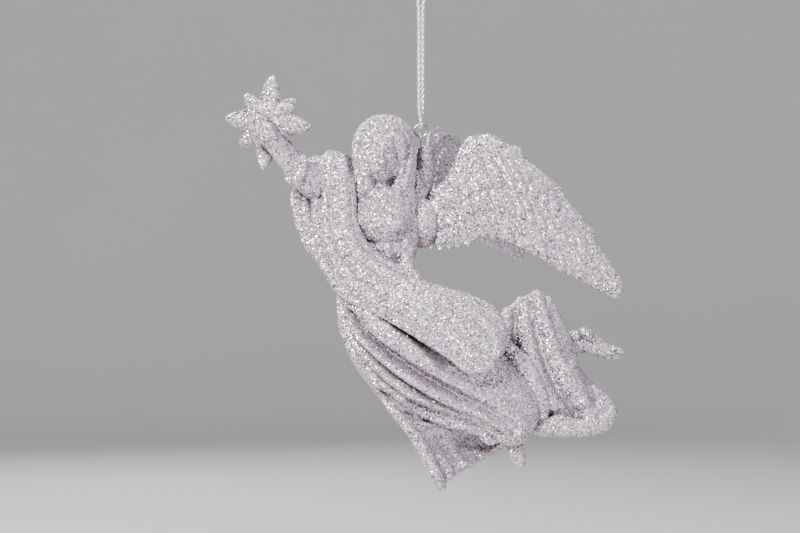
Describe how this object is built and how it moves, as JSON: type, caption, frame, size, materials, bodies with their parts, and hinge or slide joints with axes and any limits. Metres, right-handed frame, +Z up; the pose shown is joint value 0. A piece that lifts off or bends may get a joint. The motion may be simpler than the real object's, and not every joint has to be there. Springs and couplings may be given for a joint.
{
  "type": "hanging angel figurine",
  "caption": "Glittered resin angel in flight with a raised star, spread wings and a sweeping gown, hung from a looped metallic cord by a jump ring and an eye pin",
  "frame": {"origin": "where a hook carries the cord loop, just under the knot, straight above the eye pin", "axes": "+Z up along the cord, -Y the side that the angel faces and shows, +X the side that the wings and the gown trail to"},
  "size_m": [0.1193, 0.0786, 0.1643],
  "materials": {
    "glitter_resin": "cast polyresin under a dense coat of fine silver glitter, with a few larger iridescent flakes",
    "plated_wire": "bright plated steel wire",
    "metallic_cord": "silver metallic yarn, plied"
  },
  "bodies": {
    "knot": {"cord_knot": "metallic_cord"},
    "cord": {"hanging_cord": "metallic_cord"},
    "ring": {"jump_ring": "plated_wire"},
    "angel": {"torso": "glitter_resin", "head": "glitter_resin", "mantle": "glitter_resin", "raised_arm": "glitter_resin", "lower_arm": "glitter_resin", "shoulder_fold": "glitter_resin", "sleeve_drape": "glitter_resin", "star": "glitter_resin", "near_wing": "glitter_resin", "far_wing": "glitter_resin", "gown_skirt": "glitter_resin", "gown_tail": "glitter_resin", "train": "glitter_resin", "trailing_foot": "glitter_resin", "tucked_foot": "glitter_resin", "eye_pin": "plated_wire"}
  },
  "joints": [
    {"name": "cord_spin", "type": "hinge", "parent": "knot", "child": "cord", "pos_m": [0, 0, 0], "axis": [0, 0, 1], "range_deg": [-90, 90]},
    {"name": "ring_swing", "type": "hinge", "parent": "cord", "child": "ring", "pos_m": [0, 0, -0.0476], "axis": [0, 1, 0], "range_deg": [-30, 30]},
    {"name": "angel_swing", "type": "hinge", "parent": "ring", "child": "angel", "pos_m": [0, 0, -0.05025], "axis": [1, 0, 0], "range_deg": [-35, 35]}
  ]
}
